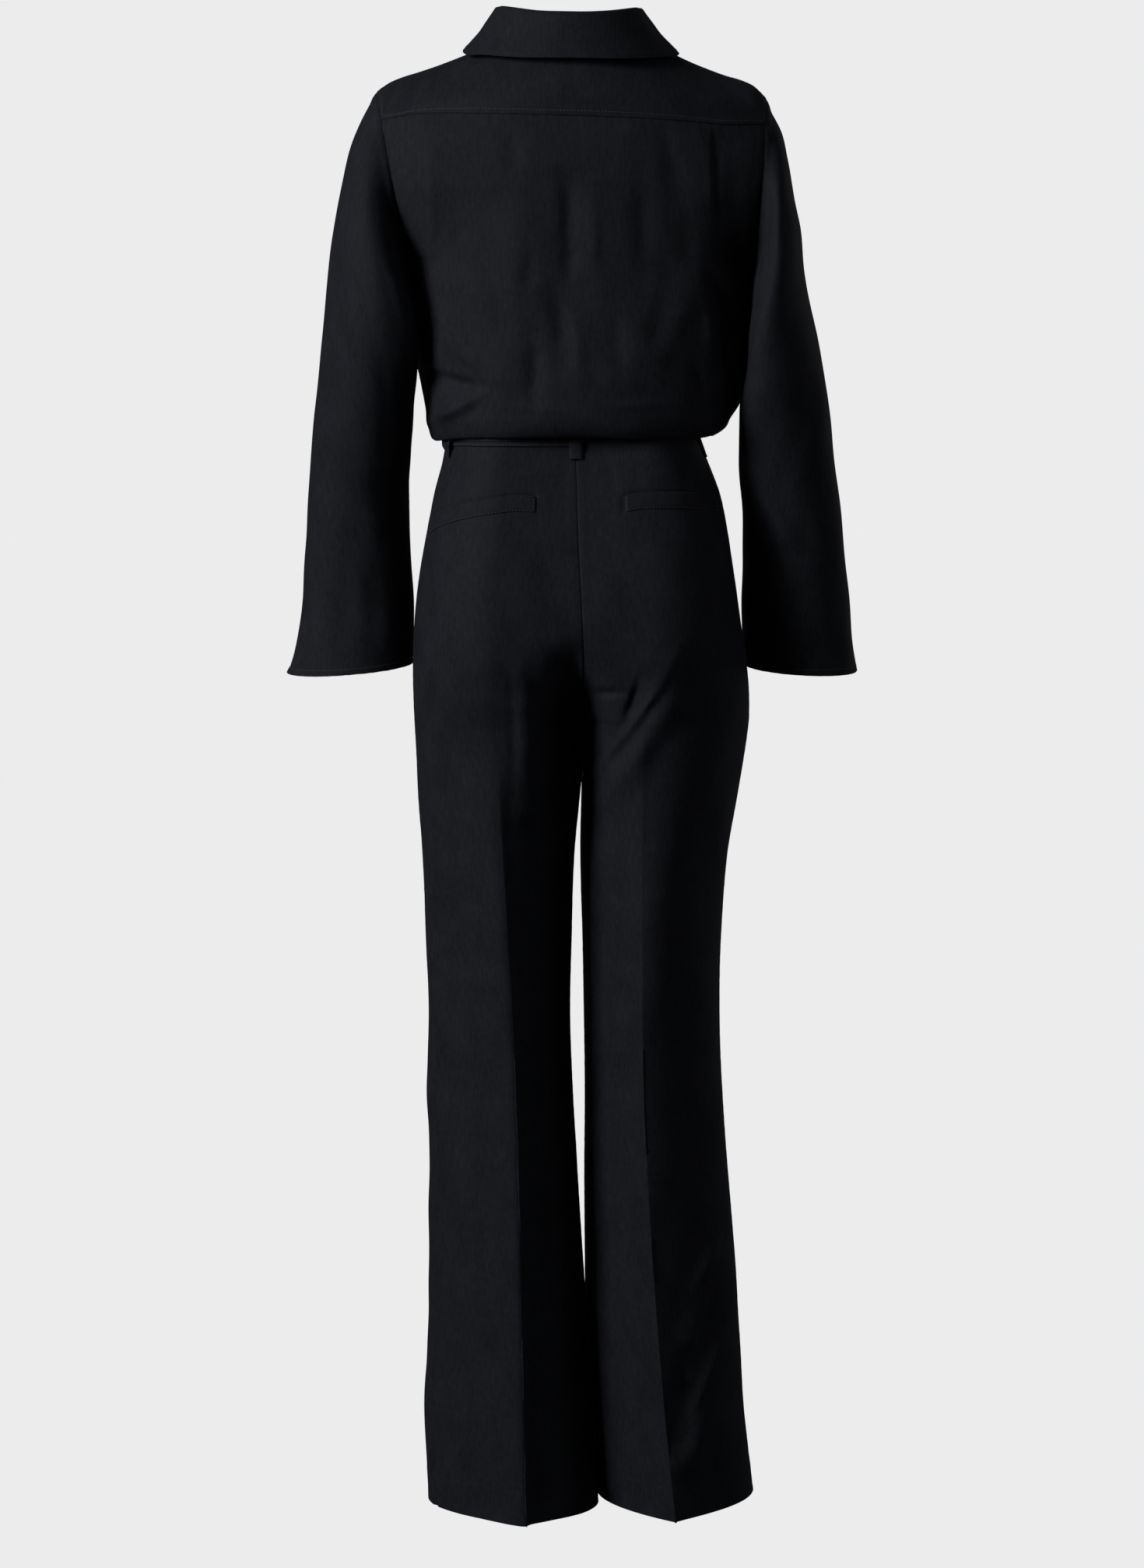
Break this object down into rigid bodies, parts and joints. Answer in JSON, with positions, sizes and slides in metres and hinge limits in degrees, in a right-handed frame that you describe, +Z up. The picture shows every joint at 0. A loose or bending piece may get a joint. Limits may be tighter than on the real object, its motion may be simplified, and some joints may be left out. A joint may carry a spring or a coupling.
{
  "type": "jumpsuit",
  "caption": "Long-legged jumpsuit held in its worn, hollow form: wide flared sleeves, turned-down collar, yoke and bloused back over a narrow belt.",
  "frame": {"origin": "centre of the neck opening, level with the points where the collar meets the shoulder seams", "axes": "+Z up along the standing wearer, -Y is the wearer's front, +X is the wearer's left"},
  "size_m": [0.57, 0.2525, 1.4894],
  "materials": {
    "crepe": "matte crepe with a faint soft sheen"
  },
  "bodies": {
    "root": {"collar": "crepe", "back_yoke": "crepe", "back_bodice": "crepe", "front_left": "crepe", "front_right": "crepe", "front_placket": "crepe", "sleeve_left": "crepe", "sleeve_right": "crepe", "trouser_back_left": "crepe", "trouser_back_right": "crepe", "trouser_front_left": "crepe", "trouser_front_right": "crepe", "welt_left": "crepe", "welt_right": "crepe", "belt": "crepe", "belt_loop_back": "crepe", "belt_loop_left": "crepe", "belt_loop_right": "crepe"}
  },
  "joints": []
}
